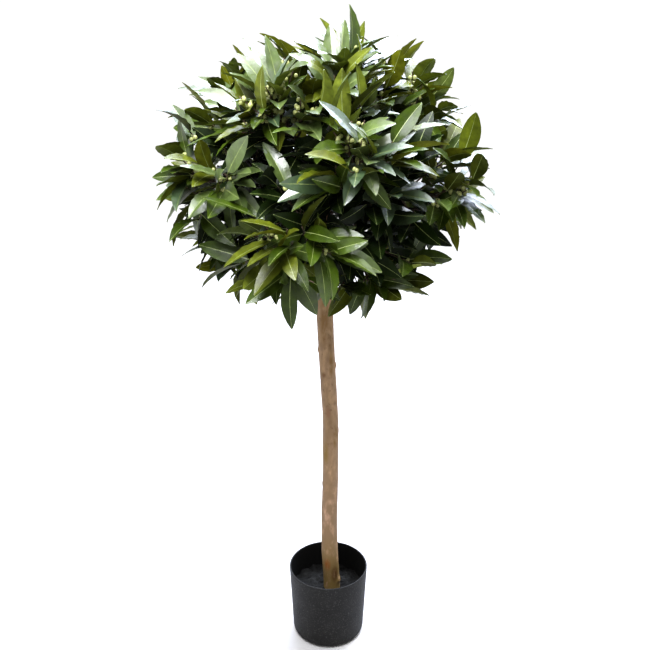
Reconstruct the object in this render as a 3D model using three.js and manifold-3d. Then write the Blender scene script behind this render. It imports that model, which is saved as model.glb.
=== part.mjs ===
// An artificial standard bay: a ball of silk bay-laurel leaves on a natural wood pole, set in a
// weighted black plastic pot. Millimetres, +Z up. The origin is the middle of the pot's flat underside.
import * as THREE from "three";
import { mergeVertices } from "three/addons/utils/BufferGeometryUtils.js";
import Module from "manifold-3d";

const wasm = await Module();
wasm.setup();

// ---- driving dimensions ----------------------------------------------------------------------

const GAP = 0.3; // clearance between touching pieces

const POT = {
  height: 156,
  rimRadius: 80,
  footRadius: 73.5, // where the wall meets the rounded foot
  footRound: 13,
  wall: 3,
  floor: 5,
  segments: 32,
};
const FILL = { top: 101, lump: 3.5, rings: 3 }; // cast weight, rough on top

// The pole's centre line and radius: [height, x, y, radius].
const POLE = [
  [24, 9.5, 0, 17],
  [100, 7.5, 0, 17],
  [200, 2.5, 1, 16.7],
  [280, 2, 2, 16.2],
  [390, 4.2, 2, 15.6],
  [500, 4, 0, 15.6],
  [580, -1, -2, 15.4],
  [690, -6.5, -2, 15.5],
  [770, -8, -1, 16.2],
  [968, -9, 0, 14.5],
];
const POLE_SIDES = 12;
const POLE_RINGS = 18;

// The crown's outline is a ball, flattened more below its middle than above.
const CROWN = { centre: new THREE.Vector3(-9, 0, 940), halfWidth: 292, above: 256, below: 190 };
// Every mass of foliage fans out from the hub, inside the top of the pole.
const HUB = new THREE.Vector3(-9, 0, 968);
const MASSES = 14;
const HIGHEST = 0.97; // upward share of the first mass's direction, and of the last one's
const LOWEST = -0.76;
const FIRST_TURN = -0.71; // azimuth of the first mass, in radians
const REACHES = [0.95, 1.05]; // shares of the outline, for the shortest mass and the longest

// A bough ends at a distance from the hub. It leaves the pole a drop below the hub: the top one's, or
// for the others one that grows from the highest direction to the lowest.
const BOUGH = {
  length: 100,
  root: 3.6,
  tip: 2.5,
  sides: 5,
  rings: 4,
  straight: 62, // of its length, at the tip
  topDrop: 20,
  drops: [34, 96],
  rise: 2, // of its bend over its root, at least
};
// Radii at root and tip, how far its tip stays inside the outline, and its share without leaves.
const STEM = { root: 2.4, tip: 1.5, short: 56, bare: 0.55 };
const TWIG = {
  count: 6,
  root: 1.9,
  tip: 1.4,
  from: 0.07, // share of the stem where the first one leaves it, and the last
  to: 0.71,
  lengths: [92, 48], // of the first and the last
  step: 6, // one that doesn't fit is tried this much shorter
  least: 20,
  opens: [62, 30], // angle to the stem, of the first and the last
  jitter: 0.5,
  lifts: [-2, 6],
  bare: 0.3,
};
const LEAF = {
  longest: 122,
  shortest: 86,
  step: 6,
  slender: 0.4, // width to length
  thick: 0.026, // to length
  arch: 0.05,
  perTwig: 4,
  last: 0.97, // share of the twig where its last leaf grows: the first is at the bare share's end
  opens: [30, 50, 70], // angles to the twig
  turns: 9,
  upward: 0.6, // how much its face turns up from along the twig
  sunk: 0.15, // share of its root end that sinks into the twig
};
// Lone leaves pass the outline: one hangs from each mass that faces down, and one stands on the first.
const HANGING = { below: -0.25, length: 90, share: 1.45, out: 12 };
const STANDING = { length: 90, share: 1.3, out: 8 };
const BUD = { radius: 3.4, every: 3, along: 0.6, sunk: 0.2 };
const CLEAR = 0.8; // how far a mass keeps from the planes between it and its neighbours
const POLE_CLEAR = 5;
const SEED = 7841; // times a mass's number, for its own random draws

const STEEP = 0.95; // a direction that climbs more than this has no upward side
const HALVINGS = 40; // steps of a search by halving

const GOLDEN = Math.PI * (3 - Math.sqrt(5));
const UP = new THREE.Vector3(0, 0, 1);
const rad = THREE.MathUtils.degToRad;
const lerp = THREE.MathUtils.lerp;

// ---- solids ----------------------------------------------------------------------------------

// A closed three.js geometry as a solid that can be joined and cut.
function solid(geometry) {
  geometry.deleteAttribute("normal");
  geometry.deleteAttribute("uv");
  const g = mergeVertices(geometry, 1e-4);
  return new wasm.Manifold(
    new wasm.Mesh({
      numProp: 3,
      vertProperties: new Float32Array(g.attributes.position.array),
      triVerts: new Uint32Array(g.index.array),
    }),
  );
}

// A geometry from a list of points and a list of triangles.
function shape(points, triangles) {
  return new THREE.BufferGeometry()
    .setFromPoints(points)
    .setIndex(triangles.flat());
}

function node(name, made, material) {
  const { vertProperties, triVerts } = made.getMesh();
  const geometry = new THREE.BufferGeometry()
    .setAttribute("position", new THREE.BufferAttribute(vertProperties, 3))
    .setIndex(new THREE.BufferAttribute(triVerts, 1));
  geometry.computeVertexNormals();
  const mesh = new THREE.Mesh(geometry, material);
  mesh.name = name;
  return mesh;
}

// A tapering limb along a curve, with flat ends.
function limb(curve, rings, sides, radiusAt) {
  const frames = curve.computeFrenetFrames(rings);
  const points = [];
  for (let i = 0; i <= rings; i++) {
    const t = i / rings;
    const middle = curve.getPointAt(t);
    for (let k = 0; k < sides; k++) {
      const a = (2 * Math.PI * k) / sides;
      points.push(
        middle
          .clone()
          .addScaledVector(frames.normals[i], Math.cos(a) * radiusAt(t))
          .addScaledVector(frames.binormals[i], Math.sin(a) * radiusAt(t)),
      );
    }
  }
  const triangles = [];
  for (let i = 0; i < rings; i++)
    for (let k = 0; k < sides; k++) {
      const [a, b] = [i * sides + k, i * sides + ((k + 1) % sides)];
      triangles.push([a, b, b + sides], [a, b + sides, a + sides]);
    }
  const last = rings * sides;
  for (let k = 1; k < sides - 1; k++)
    triangles.push([0, k + 1, k], [last, last + k, last + k + 1]);
  return solid(shape(points, triangles));
}

// ---- pot, fill and pole ----------------------------------------------------------------------

// A profile in (radius, height), turned round the Z axis.
function turned(profile) {
  return new THREE.LatheGeometry(profile, POT.segments).rotateX(Math.PI / 2);
}

function arc(x, y, radius, from, to, steps) {
  return Array.from({ length: steps + 1 }, (_, i) => {
    const a = rad(lerp(from, to, i / steps));
    return new THREE.Vector2(x + radius * Math.cos(a), y + radius * Math.sin(a));
  });
}

// Inner radius of the pot at a height.
function potInside(z) {
  return lerp(POT.footRadius, POT.rimRadius, z / POT.height) - POT.wall;
}

function pot() {
  const lip = POT.wall / 2;
  const innerRound = POT.footRound - POT.wall;
  return solid(
    turned([
      new THREE.Vector2(0, 0),
      ...arc(POT.footRadius - POT.footRound, POT.footRound, POT.footRound, -90, 0, 4),
      ...arc(POT.rimRadius - lip, POT.height - lip, lip, 0, 180, 4),
      ...arc(potInside(POT.footRound) - innerRound, POT.floor + innerRound, innerRound, 0, -90, 3),
      new THREE.Vector2(0, POT.floor),
    ]),
  );
}

// Height of the fill's rough top over its mean level.
function lump(x, y) {
  const coarse = Math.sin(x * 0.11 + 1.3) * Math.cos(y * 0.13 - 0.4);
  const fine = Math.sin(x * 0.29 - y * 0.21) * Math.cos(y * 0.34 + x * 0.12);
  return FILL.lump * (0.65 * coarse + 0.35 * fine);
}

function fill() {
  const bottom = POT.floor + GAP;
  const round = POT.footRound - POT.wall;
  const edge = potInside(FILL.top) - 2 * GAP;
  const profile = [
    new THREE.Vector2(0, bottom),
    ...arc(potInside(POT.footRound) - 2 * GAP - round, bottom + round, round, -90, 0, 3),
  ];
  for (let i = FILL.rings; i >= 0; i--)
    profile.push(new THREE.Vector2((edge * i) / FILL.rings, FILL.top));
  const geometry = turned(profile);
  const p = geometry.attributes.position;
  for (let i = 0; i < p.count; i++)
    if (p.getZ(i) > FILL.top - 1)
      p.setZ(i, FILL.top + lump(p.getX(i), p.getY(i)));
  return solid(geometry).subtract(pole(GAP));
}

const poleCurve = new THREE.CatmullRomCurve3(
  POLE.map(([z, x, y]) => new THREE.Vector3(x, y, z)),
);

// Centre and radius of the pole at a height.
function poleAt(z) {
  const i = Math.max(1, POLE.findIndex((row) => row[0] >= z));
  const [low, high] = [POLE[i - 1], POLE[i]];
  const t = (z - low[0]) / (high[0] - low[0]);
  return low.map((value, k) => lerp(value, high[k], t));
}

function pole(extra = 0) {
  const radiusAt = (t) => poleAt(poleCurve.getPointAt(t).z)[3] + extra;
  if (!extra) return limb(poleCurve, POLE_RINGS, POLE_SIDES, radiusAt);
  const ends = POLE.map(([z, x, y]) => new THREE.Vector3(x, y, z));
  ends.at(0).z -= extra;
  ends.at(-1).z += extra;
  return limb(new THREE.CatmullRomCurve3(ends), POLE_RINGS, POLE_SIDES, radiusAt);
}

// ---- the crown's spaces ----------------------------------------------------------------------

// The same numbers in the same order on every run.
function draws(seed) {
  let state = seed >>> 0;
  return () => {
    state = (Math.imul(state, 1664525) + 1013904223) >>> 0;
    return state / 2 ** 32;
  };
}

function direction(k) {
  const up = lerp(HIGHEST, LOWEST, k / (MASSES - 1));
  const flat = Math.sqrt(1 - up * up);
  const turn = FIRST_TURN + k * GOLDEN;
  return new THREE.Vector3(flat * Math.cos(turn), flat * Math.sin(turn), up);
}

const DIRECTIONS = Array.from({ length: MASSES }, (_, k) => direction(k));

// Share of the crown's outline at a point: 1 is on it.
function outlineShare(point) {
  const p = point.clone().sub(CROWN.centre);
  const halfHeight = p.z > 0 ? CROWN.above : CROWN.below;
  return Math.hypot(p.x / CROWN.halfWidth, p.y / CROWN.halfWidth, p.z / halfHeight);
}

// Distance from the hub to a share of the outline along a direction.
function reachAlong(d, share) {
  let [near, far] = [0, 2 * CROWN.halfWidth];
  for (let i = 0; i < HALVINGS; i++) {
    const middle = (near + far) / 2;
    if (outlineShare(HUB.clone().addScaledVector(d, middle)) < share) near = middle;
    else far = middle;
  }
  return near;
}

// Whether points lie in a mass's own space: between the planes that part it from its neighbours,
// outside the ball that the boughs fill, inside the outline and clear of the pole.
function fits(points, k, share) {
  return points.every((point) => {
    const p = point.clone().sub(HUB);
    if (p.length() < BOUGH.length + CLEAR || outlineShare(point) > share) return false;
    for (let j = 0; j < MASSES; j++) {
      if (j === k) continue;
      const across = DIRECTIONS[k].clone().sub(DIRECTIONS[j]);
      if (p.dot(across) / across.length() < CLEAR) return false;
    }
    if (point.z > HUB.z) return true;
    const [, x, y, radius] = poleAt(point.z);
    return Math.hypot(point.x - x, point.y - y) > radius + POLE_CLEAR;
  });
}

// ---- boughs and foliage ----------------------------------------------------------------------

// A unit vector square to d, turned by an angle round it from the upward side.
function sideways(d, angle) {
  const up = Math.abs(d.z) > STEEP ? new THREE.Vector3(1, 0, 0) : UP;
  const across = new THREE.Vector3().crossVectors(d, up).normalize();
  const over = new THREE.Vector3().crossVectors(across, d);
  return over.multiplyScalar(Math.cos(angle)).addScaledVector(across, Math.sin(angle));
}

// A bough leaves the pole lower down for a lower mass, and ends along its mass's direction.
function bough(k, cutter) {
  const d = DIRECTIONS[k];
  const share = (HIGHEST - d.z) / (HIGHEST - LOWEST);
  const drop = k === 0 ? BOUGH.topDrop : lerp(...BOUGH.drops, share);
  const [, x, y] = poleAt(HUB.z - drop);
  const end = HUB.clone().addScaledVector(d, BOUGH.length);
  const start = new THREE.Vector3(x, y, HUB.z - drop);
  const bend = end.clone().addScaledVector(d, -BOUGH.straight);
  bend.z = Math.max(bend.z, start.z + BOUGH.rise);
  const curve = new THREE.QuadraticBezierCurve3(start, bend, end);
  const made = limb(curve, BOUGH.rings, BOUGH.sides, (t) => lerp(BOUGH.root, BOUGH.tip, t));
  return largest(made.subtract(cutter));
}

// A thin leaf of ten faces: flat above, a keel below, and a root point sunk in its twig.
function leaf(root, along, face, length) {
  const side = new THREE.Vector3().crossVectors(face, along);
  const at = (u, v, n) =>
    root
      .clone()
      .addScaledVector(along, u * length)
      .addScaledVector(side, v * length * LEAF.slender)
      .addScaledVector(face, n * length);
  return [
    at(0, 0, 0),
    at(0.36, 0.48, LEAF.arch),
    at(0.36, -0.48, LEAF.arch),
    at(0.7, 0.38, LEAF.arch),
    at(0.7, -0.38, LEAF.arch),
    at(1, 0, 0),
    at(0.42, 0, LEAF.arch - LEAF.thick),
  ];
}

const LEAF_FACES = [
  [0, 2, 1],
  [2, 4, 1],
  [1, 4, 3],
  [4, 5, 3],
  [0, 1, 6],
  [1, 3, 6],
  [3, 5, 6],
  [5, 4, 6],
  [4, 2, 6],
  [2, 0, 6],
];

// Points spread over a leaf, for the tests of its space. The root end, sunk in the twig, is left out.
function leafSamples([root, a, b, c, d, tip, keel]) {
  const between = (p, q, t) => p.clone().lerp(q, t);
  return [
    a, b, c, d, tip, keel,
    between(root, a, 0.4), between(root, b, 0.4), between(root, keel, 0.5),
    between(a, c, 0.5), between(b, d, 0.5), between(keel, tip, 0.5),
  ];
}

// The leaf beyond its root, which may touch nothing.
function blade(points) {
  const [root, , , , , , keel] = points;
  return solid(shape([root.clone().lerp(keel, LEAF.sunk), ...points.slice(1)], LEAF_FACES));
}

// The longest leaf that fits along a direction, or nothing.
function longestLeaf(root, along, face, longest, allowed) {
  for (let length = longest; length >= LEAF.shortest; length -= LEAF.step) {
    const points = leaf(root, along, face, length);
    if (allowed(leafSamples(points))) return points;
  }
  return null;
}

// Where a leaf is, as seen from the hub.
function bearing(points) {
  return points[6].clone().sub(HUB).normalize();
}

// Every way a leaf can stand round its twig, the one whose bearing is furthest from the other
// leaves' first. Two bearings lie at most 2 apart.
function leafPlaces(root, heading, turn, longest, placed, allowed) {
  const places = [];
  for (const open of LEAF.opens)
    for (let i = 0; i < LEAF.turns; i++) {
      const out = sideways(heading, turn + (2 * Math.PI * i) / LEAF.turns);
      const along = leaning(heading, out, rad(open));
      const face = heading.clone().addScaledVector(UP, LEAF.upward);
      face.addScaledVector(along, -face.dot(along)).normalize();
      const points = longestLeaf(root, along, face, longest, allowed);
      if (!points) continue;
      const middle = bearing(points);
      const room = Math.min(...placed.map((other) => other.distanceTo(middle)), 2);
      places.push({ points, middle, room });
    }
  return places.sort((a, b) => b.room - a.room);
}

// A direction that leans from one unit vector towards another, square to it, by an angle.
function leaning(d, out, angle) {
  return d.clone().multiplyScalar(Math.cos(angle)).addScaledVector(out, Math.sin(angle));
}

// A twig from a point: it sags a little and lifts its tip.
function twig(from, d, length, lift) {
  const tip = from.clone().addScaledVector(d, length);
  tip.z += lift;
  const middle = from.clone().lerp(tip, 0.5);
  middle.z -= lift * 0.5;
  return new THREE.QuadraticBezierCurve3(from, middle, tip);
}

// The stem of a mass, which carries on from its bough, and side twigs in a spiral round it. A twig
// that would leave the mass's space is shortened until it fits.
function twigs(k, share, draw) {
  const d = DIRECTIONS[k];
  const start = HUB.clone().addScaledVector(d, BOUGH.length + GAP);
  const end = HUB.clone().addScaledVector(d, reachAlong(d, share) - STEM.short);
  const stem = new THREE.LineCurve3(start, end);
  const made = [{ curve: stem, size: STEM, rings: 1 }];
  const phase = 2 * Math.PI * draw();
  for (let i = 0; i < TWIG.count; i++) {
    const t = i / (TWIG.count - 1);
    const from = stem.getPoint(lerp(TWIG.from, TWIG.to, t));
    const out = sideways(d, phase + i * GOLDEN + TWIG.jitter * draw());
    const along = leaning(d, out, rad(lerp(...TWIG.opens, t)));
    const lift = lerp(...TWIG.lifts, draw());
    for (let length = lerp(...TWIG.lengths, t); length > TWIG.least; length -= TWIG.step) {
      const curve = twig(from, along, length, lift);
      if (!fits([curve.getPoint(1), curve.getPoint(0.6)], k, share)) continue;
      made.push({ curve, size: TWIG, rings: 2 });
      break;
    }
  }
  return made;
}

// A leaf past the outline, leaning away from the pole: upright from the highest twig's tip of the first
// mass, or hanging from the lowest one's of another.
function loneLeaf(k, grown, size) {
  const way = k === 0 ? UP : UP.clone().negate();
  const tips = grown.map(({ curve }) => curve.getPoint(0.98));
  const outermost = tips.reduce((a, b) => (b.dot(way) > a.dot(way) ? b : a));
  const out = DIRECTIONS[k].clone().setZ(0).normalize();
  const along = leaning(way, out, rad(size.out));
  const face = out.addScaledVector(along, -out.dot(along)).normalize();
  return leaf(outermost, along, face, size.length);
}

// One mass of foliage: its twigs, leaves that spread from each to where there is room, and buds.
function foliage(k, placed) {
  const draw = draws(SEED * (k + 1));
  const share = k === 0 ? 1 : lerp(...REACHES, draw());
  const grown = twigs(k, share, draw);
  const limbs = grown.map(({ curve, size, rings }) =>
    limb(curve, rings, 3, (t) => lerp(size.root, size.tip, t)),
  );
  let made = wasm.Manifold.union(limbs);
  if (k === 0 || DIRECTIONS[k].z < HANGING.below) {
    const size = k === 0 ? STANDING : HANGING;
    const points = loneLeaf(k, grown, size);
    if (fits(leafSamples(points), k, size.share)) made = made.add(solid(shape(points, LEAF_FACES)));
  }
  for (const [i, { curve, size }] of grown.entries()) {
    for (let n = 0; n < LEAF.perTwig; n++) {
      const t = lerp(size.bare, LEAF.last, n / (LEAF.perTwig - 1));
      const length = lerp(LEAF.shortest, LEAF.longest, draw());
      const turn = 2 * Math.PI * draw();
      const allowed = (points) => fits(points, k, share);
      const place = leafPlaces(curve.getPoint(t), curve.getTangent(t), turn, length, placed, allowed)
        .find(({ points }) => made.intersect(blade(points)).isEmpty());
      if (!place) continue;
      placed.push(place.middle);
      made = made.add(solid(shape(place.points, LEAF_FACES)));
    }
    if (i % BUD.every === 1) {
      const out = sideways(curve.getTangent(BUD.along), 2 * Math.PI * draw());
      const at = curve.getPoint(BUD.along).addScaledVector(out, BUD.radius * (1 - BUD.sunk));
      const ball = new THREE.OctahedronGeometry(BUD.radius).translate(at.x, at.y, at.z);
      made = made.add(solid(ball));
    }
  }
  return largest(made);
}

// The body itself, without a loose scrap or a sealed hollow that fusing left.
function largest(made) {
  return made.decompose().reduce((most, part) => (part.volume() > most.volume() ? part : most));
}

// ---- the plant -------------------------------------------------------------------------------

const plastic = new THREE.MeshStandardMaterial({ color: 0x2c2d2e, roughness: 0.6 });
const cement = new THREE.MeshStandardMaterial({ color: 0x1d1e1e, roughness: 0.95 });
const wood = new THREE.MeshStandardMaterial({ color: 0x98795a, roughness: 0.8 });
const bark = new THREE.MeshStandardMaterial({ color: 0x3d2f22, roughness: 0.8 });
const leafGreen = new THREE.MeshStandardMaterial({ color: 0x2f4a22, roughness: 0.45 });

const plant = new THREE.Group();
plant.add(node("pot", pot(), plastic));
plant.add(node("pot_fill", fill(), cement));
plant.add(node("trunk", pole(), wood));
const cutter = pole(GAP);
const placed = [];
for (let k = 0; k < MASSES; k++) {
  const number = String(k + 1).padStart(2, "0");
  plant.add(node(`bough_${number}`, bough(k, cutter), bark));
  plant.add(node(`foliage_${number}`, foliage(k, placed), leafGreen));
}

export default plant;
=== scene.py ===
"""An artificial standard bay: silk leaves on wired twigs, a peeled natural pole and a weighted plastic pot.

The crown grows by the rule of the part's source: the same hub, directions, boughs, stems and twigs. It is
carried on to finer sprigs that bear leaves of real size. Metres, +Z up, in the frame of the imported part.
"""

import math

import bpy
import numpy as np
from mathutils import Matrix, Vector, noise


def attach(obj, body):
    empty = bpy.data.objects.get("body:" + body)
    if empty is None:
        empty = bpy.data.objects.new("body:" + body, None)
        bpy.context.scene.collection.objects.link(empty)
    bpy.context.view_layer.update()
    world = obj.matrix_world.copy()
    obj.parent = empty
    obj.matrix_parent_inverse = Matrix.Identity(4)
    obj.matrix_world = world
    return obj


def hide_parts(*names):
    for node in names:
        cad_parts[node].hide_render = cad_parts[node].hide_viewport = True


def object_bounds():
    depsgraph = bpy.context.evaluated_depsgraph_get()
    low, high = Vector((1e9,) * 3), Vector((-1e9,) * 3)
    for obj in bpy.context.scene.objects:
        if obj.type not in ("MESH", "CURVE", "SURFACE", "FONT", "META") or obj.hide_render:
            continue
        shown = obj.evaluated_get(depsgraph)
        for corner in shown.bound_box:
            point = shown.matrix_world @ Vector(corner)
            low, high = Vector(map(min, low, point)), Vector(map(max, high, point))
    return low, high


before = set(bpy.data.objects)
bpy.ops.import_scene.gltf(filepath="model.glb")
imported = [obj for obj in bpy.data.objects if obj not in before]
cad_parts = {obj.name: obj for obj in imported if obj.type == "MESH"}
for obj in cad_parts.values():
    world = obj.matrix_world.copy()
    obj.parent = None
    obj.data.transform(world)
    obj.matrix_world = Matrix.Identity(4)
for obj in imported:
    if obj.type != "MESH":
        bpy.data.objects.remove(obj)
cad_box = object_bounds()
CAD_LOW, CAD_HIGH = (np.array(corner) for corner in cad_box)

# ---- driving dimensions, as in the part's source -------------------------------------------------

MM = 0.001
GAP = 0.3 * MM
POT = dict(height=156 * MM, rim=80 * MM, foot=73.5 * MM, foot_round=13 * MM, wall=3 * MM, floor=5 * MM)
FILL = dict(top=101 * MM, lump=3.5 * MM)
POLE = MM * np.array(  # height, x, y, radius
    [
        [24, 9.5, 0, 17],
        [100, 7.5, 0, 17],
        [200, 2.5, 1, 16.7],
        [280, 2, 2, 16.2],
        [390, 4.2, 2, 15.6],
        [500, 4, 0, 15.6],
        [580, -1, -2, 15.4],
        [690, -6.5, -2, 15.5],
        [770, -8, -1, 16.2],
        [968, -9, 0, 14.5],
    ]
)
CROWN = dict(centre=MM * np.array([-9, 0, 940]), half_width=292 * MM, above=256 * MM, below=190 * MM)
HUB = MM * np.array([-9, 0, 968])
MASSES = 14
HIGHEST, LOWEST, FIRST_TURN = 0.97, -0.76, -0.71
REACHES = 0.95, 1.05
BOUGH = dict(length=100 * MM, root=3.6 * MM, tip=2.5 * MM, straight=62 * MM, top_drop=20 * MM,
             drops=(34 * MM, 96 * MM), rise=2 * MM)
STEM = dict(root=2.4 * MM, tip=1.5 * MM, short=56 * MM)
TWIG = dict(count=6, root=1.9 * MM, tip=1.4 * MM, start=0.07, stop=0.71, lengths=(92 * MM, 48 * MM),
            step=6 * MM, least=20 * MM, opens=(62, 30), jitter=0.5, lifts=(-2 * MM, 6 * MM))
SEED = 7841
LEAF_SEED = 31625
BUD_SEED = 7843
DRAW = dict(times=1664525, plus=1013904223, range=2**32)
STEEP = 0.95  # a way that is steeper takes its sides from the X axis
HALVINGS = 40
CLEAR = 0.8 * MM  # from the planes between the spaces of the masses
POLE_CLEAR = 5 * MM
CHECKED = 1, 0.6  # the places along a twig that have to fit where it grows
GOLDEN = math.pi * (3 - math.sqrt(5))
UP = np.array([0.0, 0.0, 1.0])

# ---- what grows finer here -----------------------------------------------------------------------

# A pair runs from a limb's root to its tip, from the crown's foot to its top, or from the least that is
# drawn to the most. Angles are in degrees.
SPRIG = dict(
    per_limb=3,
    root=1.2 * MM,
    tip=0.8 * MM,
    starts=(0.15, 0.82),
    opens=(56, 30),
    wander=16,
    lengths=(66 * MM, 50 * MM),
    uneven=(0.85, 1.15),
    bend=7 * MM,
    lifts=(0.05, 1.3),
    inside=(0.93, 1.0),  # the share of the outline that a sprig keeps to
    shorter=(1, 0.8, 0.6, 0.45),  # tried in turn until one fits
    end=(0.7, 0.85, 1),  # a limb's last stretch is a sprig too
)
# Sprigs round a stem's inner part. A spray whose tip is within this share of the outline has the inner tint,
# whose near-black leaves are painted shade deep in the crown.
INNER = dict(count=5, starts=(0.0, 0.45), length=60 * MM, opens=78, share=0.68)
LEAF = dict(
    per_sprig=(5, 7),
    starts=(0.05, 1.0),
    lengths=(68 * MM, 98 * MM),
    slender=(0.36, 0.44),
    opens=(80, 36),
    wander=14,
    turns=(0, 0.6, -0.6, 1.3, -1.3, 2.2),  # radians round the sprig, tried in turn until one fits
    lifts=(-0.2, 0.7),
    level=((0, 0.5, 1), (0.75, 0.45, 1.05)),  # how much of its slope a leaf keeps, by height in the crown
    faces=dict(up=0.55, outward=0.55, wander=0.7),
    room=(17 * MM, 13.5 * MM),
    ragged=((0.92, 1.1), (0.94, 1.22)),  # the share of the outline that a spray keeps to, at foot and top
    spare=5 * MM,
    thick=0.45 * MM,
    rib=0.6 * MM,
    stalk=0.75 * MM,
    fold=(6, 24),
    arch=0.04,
    droop=(-0.06, 0.2),
    bow=0.08,
    twist=20,
    wave=1.1 * MM,
    waves=5,
)
LONE_START = 0.98  # where on its limb a leaf that passes the outline springs
HANGING = dict(below=-0.25, length=90 * MM, out=12)
STANDING = dict(length=90 * MM, out=8)
BUD = dict(
    places=(0.35, 0.6, 0.85),
    chances=(0.0, 0.5),
    start=-0.4,  # they begin this share of the crown's upper half under its centre
    counts=(2, 4),
    radii=(2.8 * MM, 4.2 * MM),
    off=(0.7, 1.6),
    wander=0.05,
    pointed=1.12,
    columns=8,
    bands=5,
)


def lerp(a, b, t):
    return a + (b - a) * t


def unit(v):
    return v / np.linalg.norm(v)


def draws(seed):
    """The same numbers in the same order on every run, as the source draws them."""
    state = seed % DRAW["range"]

    def draw():
        nonlocal state
        state = (state * DRAW["times"] + DRAW["plus"]) % DRAW["range"]
        return state / DRAW["range"]

    return draw


# ---- the crown's spaces --------------------------------------------------------------------------


def direction(k):
    up = lerp(HIGHEST, LOWEST, k / (MASSES - 1))
    flat = math.sqrt(1 - up * up)
    turn = FIRST_TURN + k * GOLDEN
    return np.array([flat * math.cos(turn), flat * math.sin(turn), up])


DIRECTIONS = np.array([direction(k) for k in range(MASSES)])


def outline_share(points):
    """Share of the crown's outline at each point: 1 is on it."""
    away = np.atleast_2d(points) - CROWN["centre"]
    half_height = np.where(away[:, 2] > 0, CROWN["above"], CROWN["below"])
    return np.hypot(np.hypot(away[:, 0], away[:, 1]) / CROWN["half_width"], away[:, 2] / half_height)


def height_share(z):
    """0 at the crown's foot and 1 at its top."""
    foot, top = CROWN["centre"][2] - CROWN["below"], CROWN["centre"][2] + CROWN["above"]
    return min(1.0, max(0.0, (z - foot) / (top - foot)))


def rise(z, lifts):
    """How far growth turns up at a height: the first of lifts at the crown's foot, the last at its top."""
    return UP * lerp(*lifts, height_share(z))


def reach_along(d, share):
    near, far = 0.0, 2 * CROWN["half_width"]
    for _ in range(HALVINGS):
        middle = (near + far) / 2
        if outline_share(HUB + d * middle)[0] < share:
            near = middle
        else:
            far = middle
    return near


def pole_at(z):
    """Centre and radius of the pole at a height."""
    return [np.interp(z, POLE[:, 0], POLE[:, i]) for i in (1, 2, 3)]


def clear_of_pole(points, clear):
    for p in points:
        if p[2] > HUB[2]:
            continue
        x, y, radius = pole_at(p[2])
        if math.hypot(p[0] - x, p[1] - y) < radius + clear:
            return False
    return True


def fits(points, k, share):
    """Whether points lie in a mass's own space."""
    away = points - HUB
    if np.any(np.linalg.norm(away, axis=1) < BOUGH["length"] + CLEAR):
        return False
    if np.any(outline_share(points) > share):
        return False
    across = DIRECTIONS[k] - np.delete(DIRECTIONS, k, axis=0)
    across /= np.linalg.norm(across, axis=1)[:, None]
    return bool(np.all(away @ across.T >= CLEAR)) and clear_of_pole(points, POLE_CLEAR)


def sideways(d, angle):
    """A unit vector square to d, turned by an angle round it from the upward side."""
    up = np.array([1.0, 0, 0]) if abs(d[2]) > STEEP else UP
    across = unit(np.cross(d, up))
    return np.cross(across, d) * math.cos(angle) + across * math.sin(angle)


def leaning(d, out, degrees):
    return d * math.cos(math.radians(degrees)) + out * math.sin(math.radians(degrees))


# ---- limbs ---------------------------------------------------------------------------------------


class Limb:
    """A tapering limb along a quadratic curve."""

    def __init__(self, start, bend, end, root, tip):
        self.ends = start, bend, end
        self.root, self.tip = root, tip

    def at(self, t):
        a, b, c = self.ends
        return a * (1 - t) ** 2 + b * 2 * t * (1 - t) + c * t * t

    def heading(self, t):
        a, b, c = self.ends
        return unit((b - a) * (1 - t) + (c - b) * t)

    def checked(self):
        """The points that have to fit where the limb grows, its tip first."""
        return np.array([self.at(t) for t in CHECKED])


def bough(k):
    d = DIRECTIONS[k]
    drop = BOUGH["top_drop"] if k == 0 else lerp(*BOUGH["drops"], (HIGHEST - d[2]) / (HIGHEST - LOWEST))
    x, y, _ = pole_at(HUB[2] - drop)
    start = np.array([x, y, HUB[2] - drop])
    end = HUB + d * BOUGH["length"]
    bend = end - d * BOUGH["straight"]
    bend[2] = max(bend[2], start[2] + BOUGH["rise"])
    return Limb(start, bend, end, BOUGH["root"], BOUGH["tip"])


def twig(start, d, length, lift, size):
    tip = start + d * length + UP * lift
    return Limb(start, (start + tip) / 2 - UP * lift / 2, tip, size["root"], size["tip"])


def grown_limbs(k):
    """The stem and twigs of a mass, draw for draw as in the source, and the mass's share of the outline."""
    draw = draws(SEED * (k + 1))
    share = 1.0 if k == 0 else lerp(*REACHES, draw())
    d = DIRECTIONS[k]
    start = HUB + d * (BOUGH["length"] + GAP)
    end = HUB + d * (reach_along(d, share) - STEM["short"])
    stem = Limb(start, (start + end) / 2, end, STEM["root"], STEM["tip"])
    limbs = [stem]
    phase = 2 * math.pi * draw()
    for i in range(TWIG["count"]):
        t = i / (TWIG["count"] - 1)
        root = stem.at(lerp(TWIG["start"], TWIG["stop"], t))
        out = sideways(d, phase + i * GOLDEN + TWIG["jitter"] * draw())
        along = leaning(d, out, lerp(*TWIG["opens"], t))
        lift = lerp(*TWIG["lifts"], draw())
        length = lerp(*TWIG["lengths"], t)
        while length > TWIG["least"]:
            limb = twig(root, along, length, lift, TWIG)
            if fits(limb.checked(), k, share):
                limbs.append(limb)
                break
            length -= TWIG["step"]
    return limbs, share


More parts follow.
